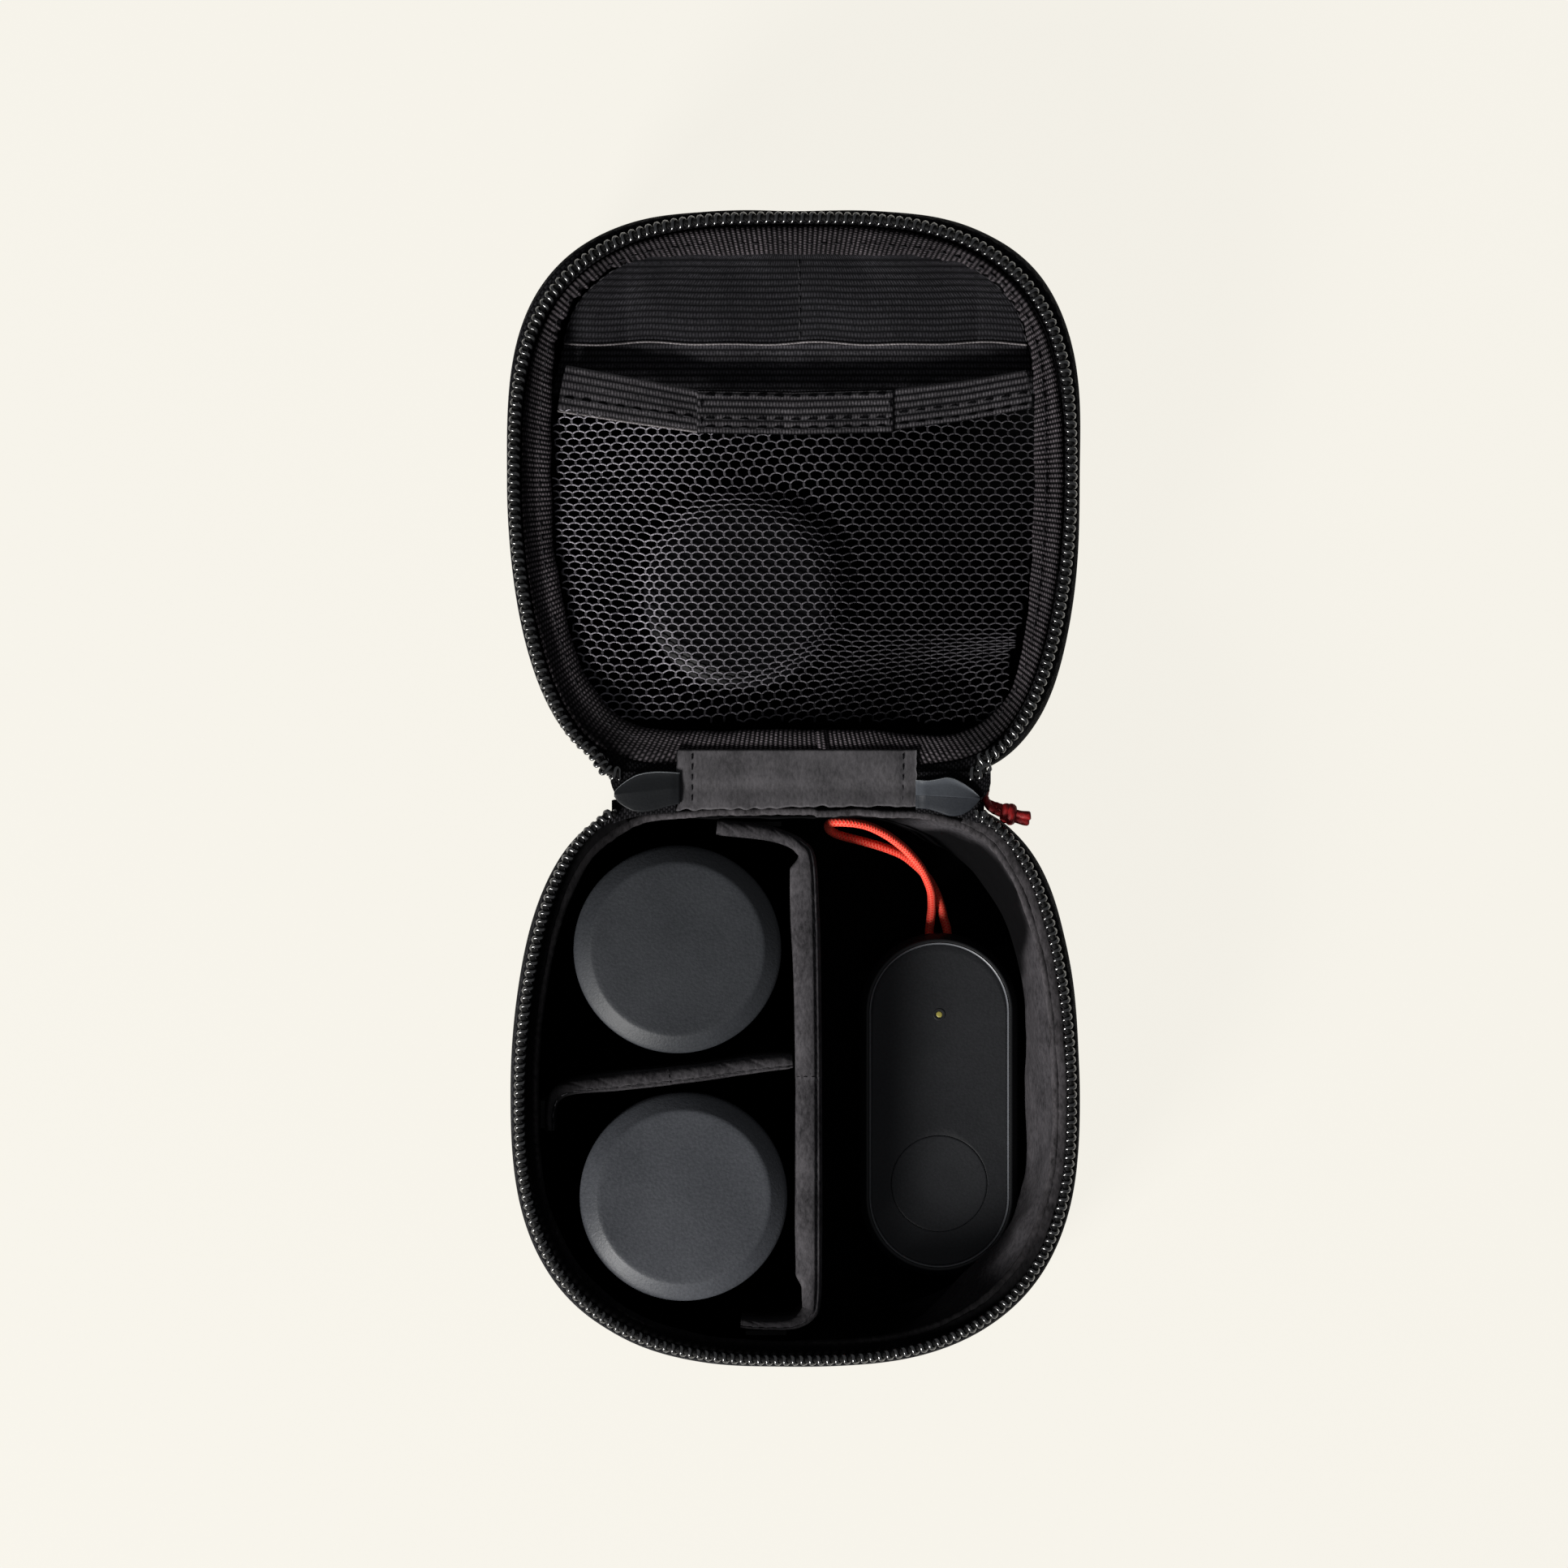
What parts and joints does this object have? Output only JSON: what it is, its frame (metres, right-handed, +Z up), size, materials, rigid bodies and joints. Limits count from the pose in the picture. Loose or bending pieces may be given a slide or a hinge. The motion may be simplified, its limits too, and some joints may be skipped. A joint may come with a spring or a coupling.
{
  "type": "zip-up lens case",
  "caption": "Rounded zip-up hard case laid open flat, with a netted lid pocket, a card band, padded dividers, capped lenses and a remote shutter inside.",
  "frame": {"origin": "on the table, straight below the hinge axis at the middle of the case", "axes": "+X along the hinge to the side of the zip pull, +Y from the hinge towards the lid, +Z up out of the open halves"},
  "size_m": [0.1132, 0.2295, 0.0382],
  "materials": {
    "shell_cloth": "moulded foam shell under black woven cloth",
    "lining_cloth": "dark grey brushed lining",
    "lid_lining_cloth": "black lining",
    "zip_tape_cloth": "woven zip tape",
    "zip_coil": "nylon coil, satin",
    "webbing": "ribbed webbing",
    "elastic": "ribbed elastic",
    "net_cloth": "knitted hexagonal net",
    "hinge_cloth": "dark grey woven cloth",
    "tab_rubber": "moulded, satin",
    "slider_metal": "black lacquer",
    "pull_cord": "dark red braided cord, knotted",
    "divider_cloth": "brushed padded cloth",
    "hook_tape": "hook tape",
    "cap_plastic": "fine satin",
    "barrel_metal": "black anodised",
    "lens_glass": "coated optical glass",
    "mount_metal": "turned",
    "rear_cap_plastic": "fine satin",
    "remote_plastic": "soft touch",
    "remote_plate": "fine grain",
    "remote_light": "tinted window",
    "board": "circuit board",
    "steel": "bright",
    "loop_cord": "bright red braided cord"
  },
  "bodies": {
    "base": {"base_shell": "shell_cloth", "base_lining": "lining_cloth", "base_zip_tape": "zip_tape_cloth", "base_zip_teeth": "zip_coil", "base_hem": "lining_cloth", "hinge_gusset": "hinge_cloth", "hinge_outer_panel": "shell_cloth", "hinge_tab_left": "tab_rubber", "hinge_tab_right": "tab_rubber"},
    "lid": {"lid_shell": "shell_cloth", "lid_lining": "lid_lining_cloth", "lid_zip_tape": "zip_tape_cloth", "lid_zip_teeth": "zip_coil", "lid_binding": "webbing", "card_back_panel": "elastic", "card_band": "elastic", "pocket_net": "net_cloth", "pocket_hem": "elastic", "pocket_hem_patch": "elastic"},
    "zip_slider": {"zip_slider_body": "slider_metal", "zip_slider_bridge": "slider_metal"},
    "zip_pull": {"zip_pull": "pull_cord"},
    "long_divider": {"divider_long": "divider_cloth", "divider_long_hooks": "hook_tape"},
    "cross_divider": {"divider_cross": "divider_cloth", "divider_cross_hooks": "hook_tape"},
    "lens_a_rear": {"lens_a_rear_cap": "rear_cap_plastic"},
    "lens_a_optics": {"lens_a_barrel": "barrel_metal", "lens_a_front_glass": "lens_glass", "lens_a_rear_glass": "lens_glass", "lens_a_mount_ring": "mount_metal"},
    "lens_a_front": {"lens_a_front_cap": "cap_plastic"},
    "lens_b_rear": {"lens_b_rear_cap": "rear_cap_plastic"},
    "lens_b_optics": {"lens_b_barrel": "barrel_metal", "lens_b_front_glass": "lens_glass", "lens_b_rear_glass": "lens_glass", "lens_b_mount_ring": "mount_metal"},
    "lens_b_front": {"lens_b_front_cap": "cap_plastic"},
    "pocket_lens": {"pocket_lens_front_cap": "cap_plastic", "pocket_lens_barrel": "barrel_metal", "pocket_lens_front_glass": "lens_glass", "pocket_lens_rear_glass": "lens_glass", "pocket_lens_mount_ring": "mount_metal", "pocket_lens_rear_cap": "rear_cap_plastic"},
    "remote": {"remote_back_case": "remote_plastic", "remote_front_case": "remote_plastic", "remote_face_plate": "remote_plate", "remote_light_window": "remote_light", "remote_circuit_board": "board", "remote_dome_switch": "steel", "remote_coin_cell": "steel", "remote_strap_post": "remote_plastic", "remote_wrist_loop": "loop_cord"},
    "remote_button": {"remote_button": "remote_plate"}
  },
  "joints": [
    {"name": "lid_hinge", "type": "hinge", "parent": "base", "child": "lid", "pos_m": [0, 0, 0.0384], "axis": [-1, 0, 0], "range_deg": [-180, 0], "deforming": ["hinge_gusset", "hinge_outer_panel", "hinge_tab_left", "hinge_tab_right"]},
    {"name": "slider_run", "type": "slide", "parent": "base", "child": "zip_slider", "axis": [1, 0, 0], "range_m": [0, 0.004]},
    {"name": "pull_swing", "type": "hinge", "parent": "zip_slider", "child": "zip_pull", "pos_m": [0.037, 0, 0.0331], "axis": [0, 0, 1], "range_deg": [-4, 60]},
    {"name": "long_divider_lift", "type": "slide", "parent": "base", "child": "long_divider", "axis": [0, 0, 1], "range_m": [0, 0.04]},
    {"name": "cross_divider_lift", "type": "slide", "parent": "base", "child": "cross_divider", "axis": [0, 0, 1], "range_m": [0, 0.04]},
    {"name": "lens_a_lift", "type": "slide", "parent": "base", "child": "lens_a_rear", "axis": [0, 0, 1], "range_m": [0, 0.04]},
    {"name": "lens_a_rear_uncap", "type": "slide", "parent": "lens_a_rear", "child": "lens_a_optics", "axis": [0, 0, 1], "range_m": [0, 0.012]},
    {"name": "lens_a_front_uncap", "type": "slide", "parent": "lens_a_optics", "child": "lens_a_front", "axis": [0, 0, 1], "range_m": [0, 0.014]},
    {"name": "lens_b_lift", "type": "slide", "parent": "base", "child": "lens_b_rear", "axis": [0, 0, 1], "range_m": [0, 0.04]},
    {"name": "lens_b_rear_uncap", "type": "slide", "parent": "lens_b_rear", "child": "lens_b_optics", "axis": [0, 0, 1], "range_m": [0, 0.012]},
    {"name": "lens_b_front_uncap", "type": "slide", "parent": "lens_b_optics", "child": "lens_b_front", "axis": [0, 0, 1], "range_m": [0, 0.014]},
    {"name": "pocket_lens_slide", "type": "slide", "parent": "lid", "child": "pocket_lens", "axis": [0, 1, 0], "range_m": [0, 0.014]},
    {"name": "remote_lift", "type": "slide", "parent": "base", "child": "remote", "axis": [0, 0, 1], "range_m": [0, 0.04]},
    {"name": "remote_button_press", "type": "slide", "parent": "remote", "child": "remote_button", "axis": [0, 0, -1], "range_m": [0, 0.0005], "stiffness_N_per_m": 900, "springref_m": -0.0004}
  ]
}
